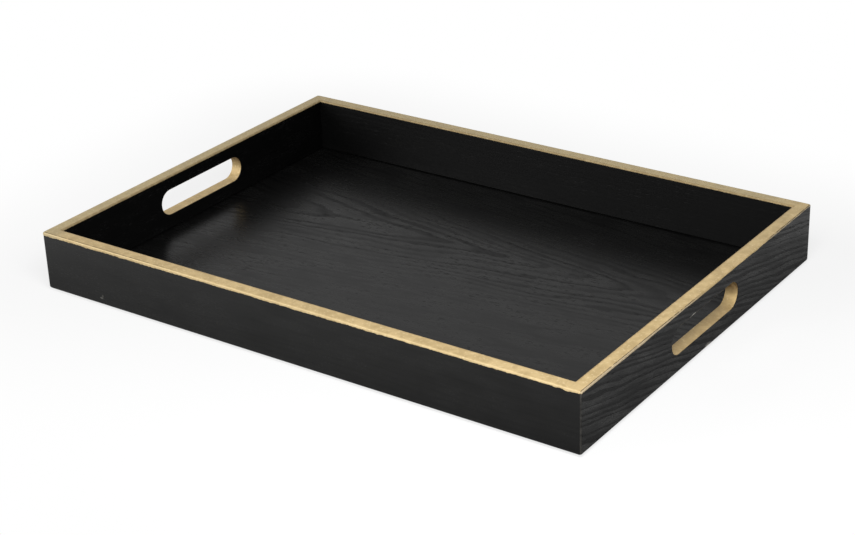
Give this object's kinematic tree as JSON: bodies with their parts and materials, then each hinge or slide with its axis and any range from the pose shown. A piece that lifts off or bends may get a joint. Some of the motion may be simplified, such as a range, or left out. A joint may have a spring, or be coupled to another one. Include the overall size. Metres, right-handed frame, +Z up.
{
  "type": "serving tray",
  "caption": "Rectangular serving tray of black open-grained wood with a gold painted rim and a round-ended hand slot through each short wall.",
  "frame": {"origin": "on the ground under the middle of the tray, level with the undersides of the felt pads", "axes": "+X along the tray's length towards the right end board, +Y across it towards the back board, +Z up towards the rim"},
  "size_m": [0.45, 0.325, 0.0468],
  "materials": {
    "black_veneer": "black satin stain over open-grained veneer",
    "gold_paint": "matt pale gold paint on rim and slots",
    "tongue_ply": "bare",
    "brad_steel": "bright drawn",
    "pad_felt": "pressed felt"
  },
  "bodies": {
    "root": {"front_side": "black_veneer", "back_side": "black_veneer", "left_end": "black_veneer", "right_end": "black_veneer", "base_panel": "black_veneer", "tongue_front_left": "tongue_ply", "tongue_front_right": "tongue_ply", "tongue_back_left": "tongue_ply", "tongue_back_right": "tongue_ply", "brad_front_1": "brad_steel", "brad_front_2": "brad_steel", "brad_front_3": "brad_steel", "brad_front_4": "brad_steel", "brad_back_1": "brad_steel", "brad_back_2": "brad_steel", "brad_back_3": "brad_steel", "brad_back_4": "brad_steel", "brad_left_1": "brad_steel", "brad_left_2": "brad_steel", "brad_right_1": "brad_steel", "brad_right_2": "brad_steel", "pad_front_left": "pad_felt", "pad_front_right": "pad_felt", "pad_back_left": "pad_felt", "pad_back_right": "pad_felt"}
  },
  "joints": []
}
